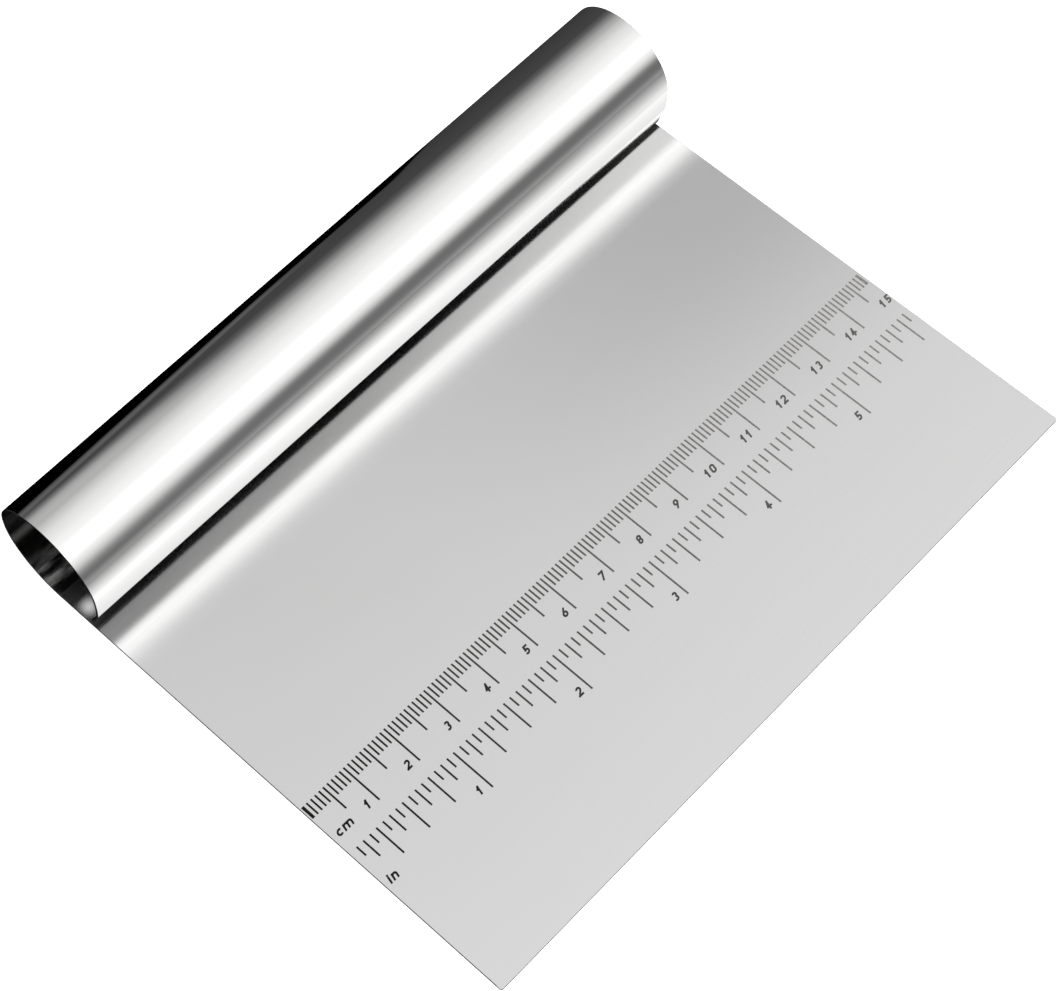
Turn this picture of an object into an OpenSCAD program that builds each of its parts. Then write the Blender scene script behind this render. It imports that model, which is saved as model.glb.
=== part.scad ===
// Bench scraper: a flat sheet steel blade whose back edge is rolled up into an open tube handle.
// The scraper lies on its underside. X runs along the handle, the front edge faces -Y,
// and the origin is on the underside, in the middle of the outline.

/* [Sheet] */
// Width of the blade and length of the handle
blade_w = 149.5; // [80:0.5:250]
// Depth over all, from the front edge to the back of the handle
overall_d = 120.5; // [90:0.5:200]
// Thickness of the steel sheet
sheet_t = 0.5; // [0.4:0.1:1.2]
// Radius of the two front corners
corner_r = 0.5; // [0.2:0.1:6]

/* [Handle] */
// Outside radius of the bends of the roll
roll_r = 12; // [8:0.5:16]
// Straight stretch up the back, which makes the roll taller than it is wide
roll_rise = 1.2; // [0:0.1:4]
// How far the front wall has turned back under the handle at its free edge, in degrees
lip_turn = 24.5; // [10:0.5:45]
// Gap between the free edge of the roll and the blade
lip_gap = 1.7; // [0.2:0.1:3]

/* [Scales] */
// Thickness of the ink
ink_t = 0.03; // [0.02:0.01:0.1]
// Width of each mark
mark_w = 0.36; // [0.2:0.02:0.5]
// Width of the first and last mark of the centimetre scale
end_mark_w = 0.6; // [0.4:0.05:0.8]
// Front edge of the blade to the straight side of the centimetre marks
cm_line = 47.6; // [45:0.1:60]
// Front edge of the blade to the straight side of the inch marks
inch_line = 35.6; // [20:0.1:36]
// Left edge of the blade to the zero of the centimetre scale
cm_zero = 0.65; // [0.5:0.05:3]
// Left edge of the blade to the zero of the inch scale
inch_zero = 0.2; // [0.2:0.05:3]
// Height of the numerals and the unit marks
digit_h = 1.8; // [1.4:0.1:2.2]
// How far the numerals and the unit marks lean forward, in degrees
slant = 13; // [0:1:20]

/* [Hidden] */

$fn = 96;

satin_steel = [0.82, 0.82, 0.81];
polished_steel = [0.92, 0.92, 0.92];
ink_black = [0.13, 0.12, 0.11];

front_y = -overall_d / 2;
left_x = -blade_w / 2;
// The flat sheet ends where the first bend of the roll starts
bend_y = overall_d / 2 - roll_r;
// Three bends: flat to upright, over the top to pointing down, and the slack bend of the front wall
heel_turn = 90;
crown_turn = 180;
lip_drop = roll_r + roll_rise - sheet_t - lip_gap;
lip_r = lip_drop / sin(lip_turn);

inch = 25.4;
mm_len = 2.9;
half_cm_len = 5.7;
cm_len = 8.8;
sixteenth_len = 2.3;
eighth_len = 4.1;
quarter_len = 6.7;
inch_len = 9.5;

digit_w = 0.66 * digit_h;
stroke = 0.22 * digit_h;
// Space between the two digits of a number, and between a number and its mark
digit_gap = 0.15 * digit_h;
number_gap = 1.2;
// Depth of the numerals' feet below the straight side of their scale
cm_number_drop = 8.7;
inch_number_drop = 9.1;
// The unit marks are small letters: their left edge, their height and the radius of their arches
unit_x = 1.4;
letter_h = 0.76 * digit_h;
arch_r = 0.24 * digit_h;

// ---- sheet metal, drawn in section: the sheet starts at the origin, heading right ----

module wedge(reach, from, turn) {
    steps = ceil(turn / 30);
    rim = [for (i = [0:steps]) from + turn * i / steps];
    polygon(concat([[0, 0]], [for (a = rim) reach * [cos(a), sin(a)]]));
}

// A bend to the left, r on its outside; what follows is placed at its end
module bend(r, turn) {
    translate([0, r]) {
        intersection() {
            difference() {
                circle(r);
                circle(r - sheet_t);
            }
            wedge(2 * r, -90, turn);
        }
        rotate(turn) translate([0, -r]) children();
    }
}

module straight(length) {
    if (length > 0) square([length, sheet_t]);
    translate([length, 0]) children();
}

module roll_section() {
    bend(roll_r, heel_turn) straight(roll_rise) bend(roll_r, crown_turn) bend(lip_r, lip_turn);
}

module blade_outline() {
    flat_d = bend_y - front_y;
    translate([left_x, front_y + corner_r]) square([blade_w, flat_d - corner_r]);
    translate([left_x + corner_r, front_y]) square([blade_w - 2 * corner_r, corner_r]);
    for (side = [-1, 1]) {
        translate([side * (blade_w / 2 - corner_r), front_y + corner_r]) circle(corner_r);
    }
}

// ---- marking, drawn flat: x from the left edge, y from the front edge of the blade ----

module on_blade() {
    translate([left_x, front_y, sheet_t]) linear_extrude(ink_t) children();
}

module mark(x, line, length, width = mark_w) {
    translate([x - width / 2, line - length]) square([width, length]);
}

module bar(p, q) {
    d = q - p;
    translate(p) rotate(atan2(d[1], d[0])) translate([-stroke / 2, -stroke / 2])
        square([norm(d) + stroke, stroke]);
}

// A whole ring about c: r is the radius of the middle of the stroke
module ring(c, r) {
    translate(c) difference() {
        circle(r + stroke / 2, $fn = 32);
        circle(r - stroke / 2, $fn = 32);
    }
}

// Part of a ring about c, counter-clockwise
module arc(c, r, from, turn) {
    intersection() {
        ring(c, r);
        translate(c) wedge(3 * r, from, turn);
    }
}

// One numeral in a cell digit_w wide and digit_h high, built from the middles of its strokes
module digit(n) {
    foot = stroke / 2;
    head = digit_h - foot;
    left = foot;
    right = digit_w - foot;
    middle = digit_w / 2;
    // A bowl is as wide as the cell, an eye half as high as the cell
    bowl_r = middle - left;
    low_bowl = [middle, foot + bowl_r];
    high_bowl = [middle, head - bowl_r];
    eye_r = (head - foot) / 4;
    low_eye = [middle, foot + eye_r];
    high_eye = [middle, head - eye_r];
    if (n == 0) {
        arc(low_bowl, bowl_r, 180, 180);
        arc(high_bowl, bowl_r, 0, 180);
        for (x = [left, right]) bar([x, low_bowl[1]], [x, high_bowl[1]]);
    }
    if (n == 1) {
        flag_w = 0.7 * bowl_r;
        bar([middle, foot], [middle, head]);
        bar([middle - flag_w, head - stroke], [middle, head]);
    }
    if (n == 2) {
        neck = -40;
        arc(high_bowl, bowl_r, neck, 200);
        bar([left, foot], high_bowl + bowl_r * [cos(neck), sin(neck)]);
        bar([left, foot], [right, foot]);
    }
    if (n == 3) {
        arc(low_eye, eye_r, -150, 240);
        arc(high_eye, eye_r, -90, 240);
    }
    if (n == 4) {
        crossbar = digit_h / 3;
        post = right - stroke;
        bar([left, crossbar], [right, crossbar]);
        bar([left, crossbar], [post, head]);
        bar([post, foot], [post, head]);
    }
    if (n == 5) {
        back = left + stroke / 2;
        shoulder = low_bowl[1] + 0.7 * bowl_r;
        bar([back, head], [right, head]);
        bar([back, head], [back, shoulder]);
        arc(low_bowl, bowl_r, -150, 290);
    }
    if (n == 6) {
        side = low_bowl + bowl_r * [cos(155), sin(155)];
        ring(low_bowl, bowl_r);
        bar(side, [middle + stroke / 2, head]);
    }
    if (n == 7) {
        bar([left, head], [right, head]);
        bar([middle - stroke / 2, foot], [right, head]);
    }
    if (n == 8) {
        ring(low_eye, eye_r);
        ring(high_eye, eye_r);
    }
    if (n == 9) {
        translate([digit_w, digit_h]) rotate(180) digit(6);
    }
}

// Leans a line of numerals or letters forward; its top stays where it is
module slanted() {
    lean = tan(slant);
    multmatrix([[1, lean, 0, -lean * digit_h], [0, 1, 0, 0], [0, 0, 1, 0]]) children();
}

// A number whose last digit ends at x
module number(n, x, foot) {
    ones = n % 10;
    tens = floor(n / 10);
    translate([x, foot]) slanted() {
        translate([-digit_w, 0]) digit(ones);
        if (tens > 0) translate([-2 * digit_w - digit_gap, 0]) digit(tens);
    }
}

// ---- sub-parts ----

module blade() {
    color(satin_steel) linear_extrude(sheet_t) blade_outline();
}

module handle_roll() {
    color(polished_steel) translate([0, bend_y, 0]) rotate([90, 0, 90])
        linear_extrude(blade_w, center = true) roll_section();
}

module cm_scale_marks() {
    last = floor(blade_w - cm_zero - end_mark_w);
    color(ink_black) on_blade() {
        for (i = [1:last - 1]) {
            length = i % 10 == 0 ? cm_len : i % 5 == 0 ? half_cm_len : mm_len;
            mark(cm_zero + i, cm_line, length);
        }
        for (i = [0, last]) mark(cm_zero + i, cm_line, mm_len, end_mark_w);
    }
}

module cm_scale_numerals() {
    last = floor((blade_w - cm_zero + number_gap) / 10);
    color(ink_black) on_blade() {
        for (i = [1:last]) {
            number(i, cm_zero + 10 * i - number_gap, cm_line - cm_number_drop);
        }
    }
}

module inch_scale_marks() {
    last = floor((blade_w - inch_zero - end_mark_w) / inch * 16);
    color(ink_black) on_blade() {
        for (i = [1:last]) {
            length = i % 16 == 0 ? inch_len : i % 4 == 0 ? quarter_len
                : i % 2 == 0 ? eighth_len : sixteenth_len;
            mark(inch_zero + i * inch / 16, inch_line, length);
        }
    }
}

module inch_scale_numerals() {
    last = floor((blade_w - inch_zero) / inch);
    color(ink_black) on_blade() {
        for (i = [1:last]) {
            number(i, inch_zero + inch * i - number_gap, inch_line - inch_number_drop);
        }
    }
}

// The letter n, from the middle of its first stroke at x: an upright bar and an arch of radius r
module arch(x, r) {
    foot = stroke / 2;
    spring = letter_h - foot - r;
    bar([x, foot], [x, letter_h - foot]);
    arc([x + r, spring], r, 0, 180);
    bar([x + 2 * r, foot], [x + 2 * r, spring]);
}

module cm_unit_mark() {
    bowl_r = (letter_h - stroke) / 2;
    bowl_x = bowl_r + stroke / 2;
    m_x = bowl_x + bowl_r + 1.5 * stroke;
    color(ink_black) on_blade() translate([unit_x, cm_line - cm_number_drop]) slanted() {
        arc([bowl_x, letter_h / 2], bowl_r, 45, 270);
        arch(m_x, arch_r);
        arch(m_x + 2 * arch_r, arch_r);
    }
}

module inch_unit_mark() {
    stem = stroke / 2;
    color(ink_black) on_blade() translate([unit_x, inch_line - inch_number_drop]) slanted() {
        bar([stem, stroke / 2], [stem, letter_h - stroke / 2]);
        translate([0, digit_h - stroke]) square([stroke, stroke]);
        arch(stem + 2 * stroke, arch_r);
    }
}

blade();
handle_roll();
cm_scale_marks();
cm_scale_numerals();
cm_unit_mark();
inch_scale_marks();
inch_scale_numerals();
inch_unit_mark();
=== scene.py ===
import math

import bpy
from mathutils import Matrix, Vector


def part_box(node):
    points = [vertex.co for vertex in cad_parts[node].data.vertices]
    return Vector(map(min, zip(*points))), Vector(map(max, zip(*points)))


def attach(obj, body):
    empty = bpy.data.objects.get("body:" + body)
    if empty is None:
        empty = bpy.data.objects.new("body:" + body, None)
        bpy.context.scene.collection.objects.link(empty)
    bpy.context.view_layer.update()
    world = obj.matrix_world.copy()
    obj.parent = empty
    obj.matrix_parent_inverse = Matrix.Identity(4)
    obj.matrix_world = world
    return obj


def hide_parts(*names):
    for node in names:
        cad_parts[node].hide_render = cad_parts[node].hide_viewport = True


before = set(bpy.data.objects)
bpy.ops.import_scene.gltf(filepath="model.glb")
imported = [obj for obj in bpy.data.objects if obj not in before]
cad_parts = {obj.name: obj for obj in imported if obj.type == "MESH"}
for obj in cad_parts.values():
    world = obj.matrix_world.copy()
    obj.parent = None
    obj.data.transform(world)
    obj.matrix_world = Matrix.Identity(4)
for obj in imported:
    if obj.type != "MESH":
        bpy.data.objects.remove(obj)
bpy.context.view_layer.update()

# Looks for the bench scraper: one steel sheet with its back edge rolled into a tube,
# and two printed scales on the blade. Sizes are in metres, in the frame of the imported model.

MM = 0.001

# ---- sizes, worked out from the frame ----

blade_low, blade_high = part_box("blade")
roll_low, roll_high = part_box("handle_roll")

SHEET_T = blade_high.z - blade_low.z
HALF_W = (blade_high.x - blade_low.x) / 2
FRONT_Y = blade_low.y
BEND_Y = blade_high.y
ROLL_R = (roll_high.y - roll_low.y) / 2
CROWN_Z = roll_high.z - ROLL_R
CORNER_R = 0.5 * MM

# The front wall of the roll bends slackly down to a crease, and ends in a flat lip
WALL_R = 38.0 * MM
CREASE_R = 3.0 * MM
# How far the wall and then the lip lean back, and the gap under the lip, at each end of the handle:
# the lip isn't quite parallel to the blade
LEFT_LIP = (math.radians(8.5), math.radians(27.5), 2.3 * MM)
RIGHT_LIP = (math.radians(8.5), math.radians(16.4), 1.2 * MM)

# The sheared edges of the sheet are broken by this radius, which shrinks to the smallest at a free edge
EDGE_BREAK = 0.07 * MM
SMALLEST_BREAK = EDGE_BREAK / 10

# Faces along each bend, along the flat blade, round each edge and across the width of the sheet
HEEL_STEPS = 45
CROWN_STEPS = 90
WALL_STEPS = 16
CREASE_STEPS = 10
FLAT_STEPS = 20
CORNER_STEPS = 8
BREAK_STEPS = 3
COLUMNS = 24

# The sides of the sheet, which are also its material slots
OUTSIDE, INSIDE, RIM = range(3)


# ---- sheet metal meshes ----

class Station:
    """A place along the sheet: a point on its outside, its direction onwards, and its outward normal.

    inset draws the whole ring in, lean tips its normals onwards, and swing turns its side
    normals onwards.
    """

    def __init__(self, y, z, heading, half_w=HALF_W, swing=0.0):
        self.point = Vector((0, y, z))
        self.heading = heading
        self.along = Vector((0, math.cos(heading), math.sin(heading)))
        self.out = Vector((0, math.sin(heading), -math.cos(heading)))
        self.half_w = half_w
        self.swing = swing
        self.inset = 0.0
        self.lean = 0.0

    def ring(self):
        """(point, normal, face) once round the sheet here. face is OUTSIDE, INSIDE or RIM."""
        w = self.half_w - self.inset
        top, bottom = self.inset, SHEET_T - self.inset
        r = max(EDGE_BREAK - self.inset, SMALLEST_BREAK)
        flat_xs = [(w - r) * (2 * i / COLUMNS - 1) for i in range(1, COLUMNS)]
        profile = [(x, top, -90) for x in flat_xs]
        profile += self.corner(w - r, top + r, r, -90)
        profile += self.corner(w - r, bottom - r, r, 0)
        profile += [(x, bottom, 90) for x in reversed(flat_xs)]
        profile += self.corner(r - w, bottom - r, r, 90)
        profile += self.corner(r - w, top + r, r, 180)
        return [self.placed(*p) for p in profile]

    @staticmethod
    def corner(x, depth, r, start):
        """Points (x, depth, angle of the normal) round one broken edge."""
        made = []
        for i in range(BREAK_STEPS + 1):
            turned = start + 90 * i / BREAK_STEPS
            angle = math.radians(turned)
            made.append((x + r * math.cos(angle), depth + r * math.sin(angle), turned))
        return made

    def placed(self, x, depth, turned):
        """(point, normal, face) for a point of the ring whose normal stands at the angle turned."""
        angle = math.radians(turned)
        sideways, inwards = math.cos(angle), math.sin(angle)
        across = Vector((sideways * math.cos(self.swing), 0, 0))
        across += self.along * abs(sideways) * math.sin(self.swing)
        normal = (across - self.out * inwards) * math.sqrt(1 - self.lean ** 2) + self.along * self.lean
        face = {-90: OUTSIDE, 270: OUTSIDE, 90: INSIDE}.get(round(turned), RIM)
        return self.point - self.out * depth + Vector((x, 0, 0)), normal, face


def arc(centre_y, centre_z, radius, start, turn, steps):
    """Stations round a bend, from the outward normal at start, counter-clockwise."""
    made = []
    for i in range(steps + 1):
        angle = start + turn * i / steps
        y = centre_y + radius * math.cos(angle)
        z = centre_z + radius * math.sin(angle)
        made.append(Station(y, z, angle + math.pi / 2))
    return made


def broken_edge(y, z, heading, side_at):
    """Stations that round off a free edge at y, z.

    side_at gives the half width and the swing of the side normals at a distance from the edge.
    """
    made = []
    for i in range(BREAK_STEPS + 1):
        angle = math.radians(90 * i / BREAK_STEPS)
        back = EDGE_BREAK * (1 - math.sin(angle))
        at_y = y - back * math.cos(heading)
        at_z = z - back * math.sin(heading)
        station = Station(at_y, at_z, heading, *side_at(back))
        station.inset = EDGE_BREAK * (1 - math.cos(angle))
        station.lean = math.sin(angle)
        made.append(station)
    return made


def between(left_ring, right_ring):
    """The ring that is left_ring at the left end of the sheet and right_ring at the right end."""
    made = []
    for (left, left_normal, face), (right, right_normal, _) in zip(left_ring, right_ring):
        share = (left.x + HALF_W) / (2 * HALF_W)
        made.append((left.lerp(right, share), left_normal.lerp(right_normal, share), face))
    return made


def end_faces(size):
    """Quads that close the end of the sheet, as places in its ring, each from the top to the bottom."""
    start = size - BREAK_STEPS - 1
    order = [(start + i) % size for i in range(size)]
    top, bottom = order[:size // 2], order[:size // 2 - 1:-1]
    return [(top[i], top[i + 1], bottom[i + 1], bottom[i]) for i in range(size // 2 - 1)]


def swept_sheet(name, stations, right_stations, outside, inside, rim):
    """A closed mesh of the sheet, with a material for each side and one for its rim.

    It runs through stations at its left end and right_stations at its right end.
    """
    rings = [between(left.ring(), right.ring()) for left, right in zip(stations, right_stations)]
    size = len(rings[0])
    points = [tuple(point) for ring in rings for point, _, _ in ring]
    faces, normals, looks = [], [], []
    for i in range(len(rings) - 1):
        here, onwards = rings[i], rings[i + 1]
        edge_on = stations[i].lean or stations[i + 1].lean
        for k in range(size):
            j = (k + 1) % size
            faces.append((i * size + k, (i + 1) * size + k, (i + 1) * size + j, i * size + j))
            normals += [normal for _, normal, _ in (here[k], onwards[k], onwards[j], here[j])]
            sides = {face for _, _, face in (here[k], here[j])}
            looks.append(RIM if edge_on or len(sides) > 1 else sides.pop())
    last = len(points) - size
    for quad in end_faces(size):
        faces += [quad, tuple(last + k for k in reversed(quad))]
        normals += [-stations[0].along] * 4 + [stations[-1].along] * 4
        looks += [RIM, RIM]
    mesh = bpy.data.meshes.new(name)
    mesh.from_pydata(points, [], faces)
    for material in (outside, inside, rim):
        mesh.materials.append(material)
    for face, look in zip(mesh.polygons, looks):
        face.use_smooth = True
        face.material_index = look
    mesh.normals_split_custom_set([tuple(n.normalized()) for n in normals])
    piece = bpy.data.objects.new(name, mesh)
    bpy.context.scene.collection.objects.link(piece)
    return piece


def front_side(distance):
    """Half width of the blade and swing of its side normals, at a distance from its front edge."""
    if distance >= CORNER_R:
        return HALF_W, 0.0
    swing = math.asin(1 - distance / CORNER_R)
    return HALF_W - CORNER_R * (1 - math.cos(swing)), swing


def blade_stations():
    """The flat blade, from the bend line to the front edge. Its outside is its top."""
    flat_end = FRONT_Y + CORNER_R
    ys = [BEND_Y + (flat_end - BEND_Y) * i / FLAT_STEPS for i in range(FLAT_STEPS)]
    # The stations round the corners stop short of the broken front edge, which has its own
    corner_end = 1.5 * EDGE_BREAK
    ys += [flat_end + (corner_end - CORNER_R) * i / CORNER_STEPS for i in range(CORNER_STEPS + 1)]
    stations = [Station(y, SHEET_T, math.pi, *front_side(y - FRONT_Y)) for y in ys]
    return stations + broken_edge(FRONT_Y, SHEET_T, math.pi, front_side)


def roll_stations(wall_lean, lip_lean, gap):
    """The roll: round the heel, over the crown, down the front wall and the crease to the free lip."""
    quarter = math.pi / 2
    heel = arc(BEND_Y, ROLL_R, ROLL_R, -quarter, quarter, HEEL_STEPS)
    crown = arc(BEND_Y, CROWN_Z, ROLL_R, 0, 2 * quarter, CROWN_STEPS)
    wall = arc(BEND_Y - ROLL_R + WALL_R, CROWN_Z, WALL_R, 2 * quarter, wall_lean, WALL_STEPS)
    centre = wall[-1].point - wall[-1].out * CREASE_R
    more_lean = lip_lean - wall_lean
    crease = arc(centre.y, centre.z, CREASE_R, 2 * quarter + wall_lean, more_lean, CREASE_STEPS)
    end = crease[-1]
    edge_at = end.point + end.along * ((end.point.z - SHEET_T - gap) / math.cos(lip_lean))
    edge = broken_edge(edge_at.y, edge_at.z, end.heading, lambda distance: (HALF_W, 0.0))
    return heel + crown + wall[1:] + crease[1:] + edge


# ---- node helpers ----

def add(tree, kind, inputs=(), **settings):
    """A new node; inputs maps a socket's name or number to a value or to another node's output."""
    node = tree.nodes.new(kind)
    for key, value in settings.items():
        setattr(node, key, value)
    for key, value in dict(inputs).items():
        if isinstance(value, bpy.types.NodeSocket):
            tree.links.new(value, node.inputs[key])
        else:
            node.inputs[key].default_value = value
    return node


def maths(tree, operation, *values):
    """The result of one operation on the values, which are numbers or outputs."""
    return add(tree, "ShaderNodeMath", dict(enumerate(values)), operation=operation).outputs[0]


def smooth(tree, value, low, high, to_low=0.0, to_high=1.0):
    """A smooth step of the value, from to_low at low to to_high at high."""
    inputs = {"Value": value, "From Min": low, "From Max": high, "To Min": to_low, "To Max": to_high}
    return add(tree, "ShaderNodeMapRange", inputs, interpolation_type="SMOOTHSTEP").outputs[0]


def hump(tree, value, middle, reach, height):
    """A smooth hump of that height at the middle, down to nothing at the reach on either side."""
    away = maths(tree, "ABSOLUTE", maths(tree, "SUBTRACT", value, middle))
    return smooth(tree, away, reach, 0.0, 0.0, height)


def streaks(tree, coords, scale, detail=2.0, seed=0.0):
    """Noise from 0 to 1 whose grain is set by the three scales, in features per metre.

    seed moves it to another part of the noise.
    """
    stretched = add(tree, "ShaderNodeVectorMath", {0: coords, 1: scale}, operation="MULTIPLY")
    shift = {0: stretched.outputs[0], 1: (seed, seed, seed)}
    shifted = add(tree, "ShaderNodeVectorMath", shift, operation="ADD")
    inputs = {"Vector": shifted.outputs[0], "Scale": 1.0, "Detail": detail}
    return add(tree, "ShaderNodeTexNoise", inputs).outputs["Fac"]


def mix_colour(tree, factor, a, b):
    """Colour a where the factor is 0 and colour b where it is 1, by the Mix node's colour sockets."""
    return add(tree, "ShaderNodeMix", {0: factor, 6: a, 7: b}, data_type="RGBA").outputs[2]


def mix_value(tree, factor, a, b):
    """Value a where the factor is 0 and value b where it is 1, by the Mix node's number sockets."""
    return add(tree, "ShaderNodeMix", {0: factor, 2: a, 3: b}).outputs[0]


def grey(level, warm=0.0):
    """A grey of that level, a little warmer or, below 0, cooler."""
    return (level * (1 + warm), level, level * (1 - warm), 1.0)


def new_material(name, metallic):
    """A material with a Principled shader, and the object's own coordinates."""
    material = bpy.data.materials.new(name)
    material.use_nodes = True
    tree = material.node_tree
    shader = tree.nodes["Principled BSDF"]
    shader.inputs["Metallic"].default_value = metallic
    coords = add(tree, "ShaderNodeTexCoord").outputs["Object"]
    return material, tree, shader, coords


def bump(tree, height, strength, distance):
    """A normal tilted by that height, which stands for the distance in metres."""
    inputs = {"Height": height, "Strength": strength, "Distance": distance}
    return add(tree, "ShaderNodeBump", inputs).outputs[0]


def dress(tree, shader, tone, rough, normal):
    """Link a material's colour, roughness and normal to its shader."""
    for socket, value in (("Base Color", tone), ("Roughness", rough), ("Normal", normal)):
        tree.links.new(value, shader.inputs[socket])


# ---- materials ----

# Noise between these two levels takes a look from one end of its range to the other
NOISE_LOW, NOISE_HIGH = 0.3, 0.7

# A painted highlight: a patch of the sheet turned to a bright matt so that it catches the light; its middle
# and its reach
HIGHLIGHT_X = -HALF_W + 2.2 * MM
HIGHLIGHT_Y = BEND_Y - 5.6 * MM
HIGHLIGHT_REACH = 2.6 * MM

# Painted light inside the heel, as lighter matt patches: it starts at the first height and is complete at
# the second
HEEL_LIGHT_TOP = 5.0 * MM
HEEL_LIGHT_FULL = 1.0 * MM

FRESH_INK = (0.006, 0.005, 0.004, 1)
WORN_INK = (0.36, 0.35, 0.33, 1)


def back_right_shade(tree, axes):
    """How much painted shade darkens the blade: it grows to the right and to the back, and ends short of
    the handle.
    """
    right = smooth(tree, axes["X"], -0.4 * HALF_W, HALF_W)
    back = smooth(tree, axes["Y"], -0.7 * BEND_Y, 0.35 * BEND_Y)
    clear = smooth(tree, axes["Y"], 0.64 * BEND_Y, 0.54 * BEND_Y)
    return maths(tree, "MULTIPLY", maths(tree, "MULTIPLY", right, back), clear)


def satin_steel():
    """Brushed sheet: fine grain along the handle, faint smudges, and painted shade that darkens it towards
    its back right corner.

    Inside the roll, by its left end, a painted highlight: a patch turned to a bright matt that catches the
    light.
    """
    material, tree, shader, coords = new_material("satin_steel", 1.0)
    axes = add(tree, "ShaderNodeSeparateXYZ", {0: coords}).outputs
    grain = streaks(tree, coords, (60, 5200, 5200), 3.0)
    cloud = streaks(tree, coords, (26, 34, 34), 2.0, 7.0)
    tone = mix_colour(tree, cloud, grey(0.92, 0.004), grey(0.95, -0.003))
    tone = mix_colour(tree, maths(tree, "MULTIPLY", grain, 0.3), tone, grey(0.85))
    # Painted shade: darker grey towards the back right corner of the blade
    tone = mix_colour(tree, back_right_shade(tree, axes), tone, grey(0.70))
    # Painted highlight: the patch loses its metal so that it shows as a bright matt
    highlight_along = hump(tree, axes["X"], HIGHLIGHT_X, HIGHLIGHT_REACH, 1.0)
    highlight_across = hump(tree, axes["Y"], HIGHLIGHT_Y, HIGHLIGHT_REACH, 0.9)
    painted_highlight = maths(tree, "MULTIPLY", highlight_along, highlight_across)
    tree.links.new(maths(tree, "SUBTRACT", 1.0, painted_highlight), shader.inputs["Metallic"])
    fine_rough = smooth(tree, grain, NOISE_LOW, NOISE_HIGH, 0.19, 0.23)
    patchy_rough = smooth(tree, cloud, NOISE_LOW, NOISE_HIGH, 0.0, 0.03)
    rough = maths(tree, "ADD", fine_rough, patchy_rough)
    dress(tree, shader, tone, rough, bump(tree, grain, 0.05, 0.01 * MM))
    return material


def polished_steel():
    """Mirror polish: faint lines along the handle and a slight unevenness from the rolling."""
    material, tree, shader, coords = new_material("polished_steel", 1.0)
    lines = streaks(tree, coords, (30, 3600, 3600), 3.0)
    cloud = streaks(tree, coords, (30, 60, 60), 2.0, 3.0)
    tone = mix_colour(tree, cloud, grey(0.91, 0.010), grey(0.94))
    tone = mix_colour(tree, maths(tree, "MULTIPLY", lines, 0.2), tone, grey(0.88))
    fine_rough = smooth(tree, lines, NOISE_LOW, NOISE_HIGH, 0.035, 0.06)
    patchy_rough = smooth(tree, cloud, NOISE_LOW, NOISE_HIGH, 0.0, 0.015)
    rough = maths(tree, "ADD", fine_rough, patchy_rough)
    dress(tree, shader, tone, rough, bump(tree, cloud, 0.02, 0.1 * MM))
    return material


def shaded_inside_steel():
    """The inside of the roll: unpolished sheet, made darker than the blade as painted shade, with painted
    light in lighter matt patches low on the heel.
    """
    material, tree, shader, coords = new_material("shaded_inside_steel", 1.0)
    z = add(tree, "ShaderNodeSeparateXYZ", {0: coords}).outputs["Z"]
    lines = streaks(tree, coords, (40, 2600, 2600), 3.0)
    heel_patches = streaks(tree, coords, (110, 420, 420), 3.0, 5.0)
    cloud = streaks(tree, coords, (90, 140, 140), 3.0, 5.0)
    # Painted shade: the inside is given a dark grey, far darker than the blade
    tone = mix_colour(tree, smooth(tree, cloud, 0.35, 0.7), grey(0.12, 0.02), grey(0.26, 0.01))
    low = smooth(tree, z, HEEL_LIGHT_TOP, HEEL_LIGHT_FULL)
    # Painted light: lighter, less metallic patches low on the heel
    heel_light = maths(tree, "MULTIPLY", low, smooth(tree, heel_patches, 0.38, 0.66, 0.0, 0.6))
    tree.links.new(maths(tree, "SUBTRACT", 1.0, heel_light), shader.inputs["Metallic"])
    tone = mix_colour(tree, heel_light, tone, grey(0.42, 0.02))
    rough = smooth(tree, lines, NOISE_LOW, NOISE_HIGH, 0.16, 0.22)
    dress(tree, shader, tone, rough, bump(tree, lines, 0.02, 0.02 * MM))
    return material


def cut_edge():
    """The sheared edges: dull dark steel with fine marks across the cut, and a painted highlight that makes
    them bright along the front.
    """
    material, tree, shader, coords = new_material("cut_edge", 1.0)
    y = add(tree, "ShaderNodeSeparateXYZ", {0: coords}).outputs["Y"]
    marks = streaks(tree, coords, (4200, 4200, 500), 3.0)
    tone = mix_colour(tree, marks, grey(0.08), grey(0.16))
    # Painted highlight: the sheared edge turns bright along the front of the blade
    wear_and_highlight = smooth(tree, y, FRONT_Y + 3 * SHEET_T, FRONT_Y + SHEET_T)
    tone = mix_colour(tree, wear_and_highlight, tone, grey(0.90))
    rough = smooth(tree, marks, NOISE_LOW, NOISE_HIGH, 0.25, 0.40)
    dress(tree, shader, tone, rough, bump(tree, marks, 0.15, 0.02 * MM))
    return material


def ink(name, wear):
    """The ink of the scales: near black, slightly uneven, and lighter to the right from wear."""
    material, tree, shader, coords = new_material(name, 0.0)
    x = add(tree, "ShaderNodeSeparateXYZ", {0: coords}).outputs["X"]
    speckle = streaks(tree, coords, (2600, 2600, 2600), 2.0)
    to_the_right = smooth(tree, x, -HALF_W, HALF_W)
    uneven = smooth(tree, speckle, 0.25, 0.75, 0.6, 1.0)
    wear_and_highlight = maths(tree, "MULTIPLY", to_the_right, uneven)
    tone = mix_colour(tree, maths(tree, "MULTIPLY", wear_and_highlight, wear), FRESH_INK, WORN_INK)
    rough = smooth(tree, speckle, NOISE_LOW, NOISE_HIGH, 0.45, 0.65)
    dress(tree, shader, tone, rough, bump(tree, speckle, 0.2, 0.01 * MM))
    shader.inputs["Specular IOR Level"].default_value = 0.12
    return material


# ---- the pieces ----

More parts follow.
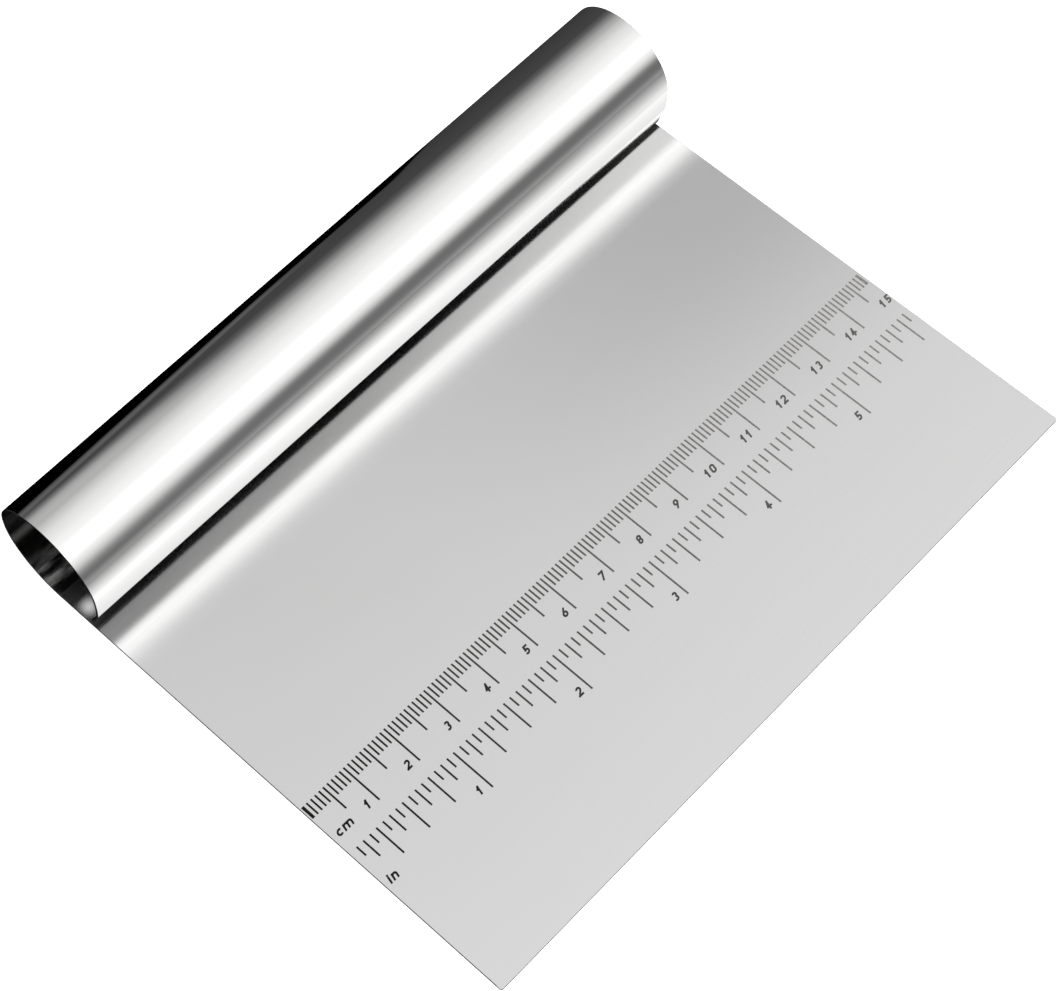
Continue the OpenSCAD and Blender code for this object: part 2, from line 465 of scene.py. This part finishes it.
SATIN = satin_steel()
POLISHED = polished_steel()
SHADED_INSIDE = shaded_inside_steel()
EDGE = cut_edge()
MARK_INK = ink("mark_ink", 0.62)
NUMERAL_INK = ink("numeral_ink", 0.3)


def flat_sheet(name):
    return swept_sheet(name, blade_stations(), blade_stations(), SATIN, SATIN, EDGE)


def rolled_sheet(name, left_lip, right_lip):
    return swept_sheet(name, roll_stations(*left_lip), roll_stations(*right_lip), POLISHED, SHADED_INSIDE, EDGE)


blade = flat_sheet("blade_sheet")
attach(blade, "root")
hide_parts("blade")

roll = rolled_sheet("rolled_handle", LEFT_LIP, RIGHT_LIP)
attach(roll, "root")
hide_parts("handle_roll")

for name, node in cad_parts.items():
    if name not in ("blade", "handle_roll"):
        node.data.materials.clear()
        node.data.materials.append(MARK_INK if name.endswith("scale_marks") else NUMERAL_INK)
        # A studio trick: the polished handle doesn't mirror the ink
        node.visible_glossy = False


# ---- the studio ----

# Brightness of the studio behind, over and in front of the handle, as (tilt in degrees, level)
STUDIO_BANDS = (
    (-90, 0.03), (-10, 0.048), (12, 0.056), (24, 0.070), (36, 0.158), (48, 0.34), (60, 0.52),
    (75, 0.74), (95, 0.92), (110, 1.04), (121, 1.28), (130, 1.40), (139, 1.08), (151, 0.76),
    (158, 0.46), (165, 0.21), (178, 0.17), (183, 0.23), (189, 0.31), (200, 0.38), (270, 0.03),
)
# The colour ramp holds the levels as shares of this one
BRIGHTEST = 1.5

# Below, x is the X part of a direction: 0 is square to the handle, 1 along it to the right, and -1 to
# the left. z is its Z part. A pair is where a change starts and where it is complete.
BANDS_START = (0.0, 0.2)
BANDS_END = (0.72, 0.52)

# Top edge of the black card, in degrees of tilt: its low right-hand part, and its rise to the left
CARD_LOW = -12.0
CARD_SLOPE = 186.0
CARD_LEFT = 60.6
# Where in x the card ends on the right, by dropping that far, and how soft its top edge is
CARD_END = (0.38, 0.42)
CARD_DROP = -60.0
CARD_BLUR = (1.5, -1.5)
# The card and its leak lie behind the handle, below this tilt
BEHIND = 60.0

# Humps of light as (middle, reach, height): the leak's middle is in degrees above the top edge of the
# card, and those of the two glows are tilts. Each fades out to the right in x.
LEAK = (9.0, 9.0, 0.065)
LEAK_FADE = (0.36, 0.31)
GLOW_BEHIND = (41.0, 19.0, 0.18)
GLOW_IN_FRONT = (162.0, 16.0, 0.12)
GLOW_FADE = (0.31, 0.24)

# The soft grey as (z, z, level, level): it brightens upwards, and the table under it is dark
SOFT_UPWARDS = (0.0, 1.0, 0.36, 0.80)
DARK_BELOW = (-0.75, -0.3, 0.02, 1.0)


def studio_world():
    """A soft studio round the object, as a brightness for each direction.

    tilt is a direction's angle about the handle, in degrees: 0 is level behind the handle, 90
    straight up, 180 level in front of the blade, and -90 or 270 straight down. The bands stand to
    the right, where the polished handle mirrors them to the camera. The rest is a soft grey.
    """
    world = bpy.data.worlds.new("studio")
    bpy.context.scene.world = world
    world.use_nodes = True
    tree = world.node_tree
    tree.nodes.clear()
    direction = add(tree, "ShaderNodeTexCoord").outputs["Generated"]
    axes = add(tree, "ShaderNodeSeparateXYZ", {0: direction})
    x, y, z = (axes.outputs[i] for i in range(3))
    turn = maths(tree, "MULTIPLY", maths(tree, "ARCTAN2", z, y), 180 / math.pi)
    tilt = maths(tree, "WRAP", turn, 270.0, -90.0)

    share = maths(tree, "DIVIDE", maths(tree, "ADD", tilt, 90.0), 360.0)
    bands = add(tree, "ShaderNodeValToRGB", {"Fac": share})
    ramp = bands.color_ramp
    ramp.interpolation = "CARDINAL"
    while len(ramp.elements) < len(STUDIO_BANDS):
        ramp.elements.new(0.5)
    for stop, (angle, level) in zip(ramp.elements, STUDIO_BANDS):
        stop.position = (angle + 90) / 360
        stop.color = grey(level / BRIGHTEST)
    banded = maths(tree, "MULTIPLY", bands.outputs["Color"], BRIGHTEST)

    # A black card stands low behind the handle, up to card_top: higher to the left, and ending to the right
    higher = maths(tree, "MAXIMUM", maths(tree, "MULTIPLY_ADD", x, -CARD_SLOPE, CARD_LEFT), 0.0)
    ended = smooth(tree, x, *CARD_END, 0.0, CARD_DROP)
    card_top = maths(tree, "ADD", maths(tree, "ADD", higher, CARD_LOW), ended)
    above = maths(tree, "SUBTRACT", tilt, card_top)
    behind = maths(tree, "LESS_THAN", tilt, BEHIND)
    card = maths(tree, "MULTIPLY", behind, smooth(tree, above, *CARD_BLUR))
    # On the left, light leaks over its top edge, and the studio is brighter behind and in front
    leak = maths(tree, "MULTIPLY", hump(tree, above, *LEAK), smooth(tree, x, *LEAK_FADE))
    glow = maths(tree, "ADD", hump(tree, tilt, *GLOW_BEHIND), hump(tree, tilt, *GLOW_IN_FRONT))
    glow = maths(tree, "MULTIPLY", glow, smooth(tree, x, *GLOW_FADE))
    lit_left = maths(tree, "ADD", maths(tree, "MULTIPLY", leak, behind), glow)
    uncarded = maths(tree, "SUBTRACT", 1.0, card)
    carded = maths(tree, "MULTIPLY", maths(tree, "ADD", banded, lit_left), uncarded)

    overhead = smooth(tree, z, *SOFT_UPWARDS)
    table = smooth(tree, z, *DARK_BELOW)
    soft = maths(tree, "MULTIPLY", overhead, table)
    started = smooth(tree, x, *BANDS_START)
    on_the_right = maths(tree, "MULTIPLY", started, smooth(tree, x, *BANDS_END))
    level = mix_value(tree, on_the_right, soft, carded)

    # The camera sees plain white in place of the studio
    lit = add(tree, "ShaderNodeBackground", {"Color": level, "Strength": 1.0})
    seen = add(tree, "ShaderNodeBackground", {"Color": grey(1.0), "Strength": 1.0})
    path = add(tree, "ShaderNodeLightPath").outputs["Is Camera Ray"]
    both = add(tree, "ShaderNodeMixShader", {0: path, 1: lit.outputs[0], 2: seen.outputs[0]})
    add(tree, "ShaderNodeOutputWorld", {"Surface": both.outputs[0]})


def reflectors():
    """The sheet goes on past its right end in what it mirrors, so that its bands reach that end."""
    past_the_end = Matrix.Translation((2 * (HALF_W - EDGE_BREAK), 0, 0))
    for beyond in (flat_sheet("beyond_blade"), rolled_sheet("beyond_handle", RIGHT_LIP, RIGHT_LIP)):
        beyond.data.transform(past_the_end)
        beyond.visible_camera = False
        beyond.visible_diffuse = False
        beyond.visible_shadow = False
        beyond.visible_transmission = False


FLOOR_SIZE = 6.0
# The table lies just below the scraper's underside
FLOOR_DROP = 0.2 * MM


def plain_floor():
    """A plain white table. Steel doesn't mirror it, so that the dark bands of the studio stay dark."""
    bpy.ops.mesh.primitive_plane_add(size=FLOOR_SIZE, location=(0, 0, -FLOOR_DROP))
    floor = bpy.context.object
    floor.name = "floor"
    material = bpy.data.materials.new("floor_white")
    material.use_nodes = True
    tree = material.node_tree
    shader = tree.nodes["Principled BSDF"]
    coords = add(tree, "ShaderNodeTexCoord").outputs["Object"]
    tone = mix_colour(tree, streaks(tree, coords, (9, 9, 9), 2.0), grey(0.90), grey(0.93))
    tree.links.new(tone, shader.inputs["Base Color"])
    shader.inputs["Roughness"].default_value = 0.9
    shader.inputs["Emission Color"].default_value = grey(1.0)
    shader.inputs["Emission Strength"].default_value = 0.55
    floor.data.materials.append(material)
    floor.visible_glossy = False


def soft_light():
    """One large soft light overhead, for the table, the ink and the matt patches of the steel.

    Steel doesn't mirror it.
    """
    light = bpy.data.lights.new("overhead", "AREA")
    light.shape = "SQUARE"
    light.size = 2.0
    light.energy = 30.0
    lamp = bpy.data.objects.new("overhead", light)
    lamp.location = (-0.3, -0.4, 1.6)
    towards_the_object = -lamp.location
    lamp.rotation_euler = towards_the_object.to_track_quat("-Z", "Y").to_euler()
    lamp.visible_glossy = False
    bpy.context.scene.collection.objects.link(lamp)


studio_world()
reflectors()
plain_floor()
soft_light()


# ---- the camera ----

# Azimuth, elevation and roll in degrees; the camera aims at a point on the table
CAMERA_ANGLES = (-45.857, 61.034, -1.316)
CAMERA_AIM = (-0.0028, 0.0006, 0.0)
CAMERA_DISTANCE = 0.51867
# Focal length and width of the sensor, in millimetres
CAMERA_LENS = 96.92
SENSOR_WIDTH = 36.0


def place_camera():
    data = bpy.data.cameras.new("camera")
    data.sensor_width = SENSOR_WIDTH
    data.lens = CAMERA_LENS
    data.clip_start = 0.01
    data.clip_end = 100.0
    camera = bpy.data.objects.new("camera", data)
    azimuth, elevation, roll_angle = (math.radians(a) for a in CAMERA_ANGLES)
    back = Vector((
        math.sin(azimuth) * math.cos(elevation),
        -math.cos(azimuth) * math.cos(elevation),
        math.sin(elevation),
    ))
    level_right = Vector((math.cos(azimuth), math.sin(azimuth), 0))
    right = Matrix.Rotation(roll_angle, 3, back) @ level_right
    up = back.cross(right)
    place = Matrix((right, up, back)).transposed().to_4x4()
    place.translation = Vector(CAMERA_AIM) + back * CAMERA_DISTANCE
    camera.matrix_world = place
    bpy.context.scene.collection.objects.link(camera)
    bpy.context.scene.camera = camera


place_camera()

bpy.context.scene.view_settings.view_transform = "Standard"
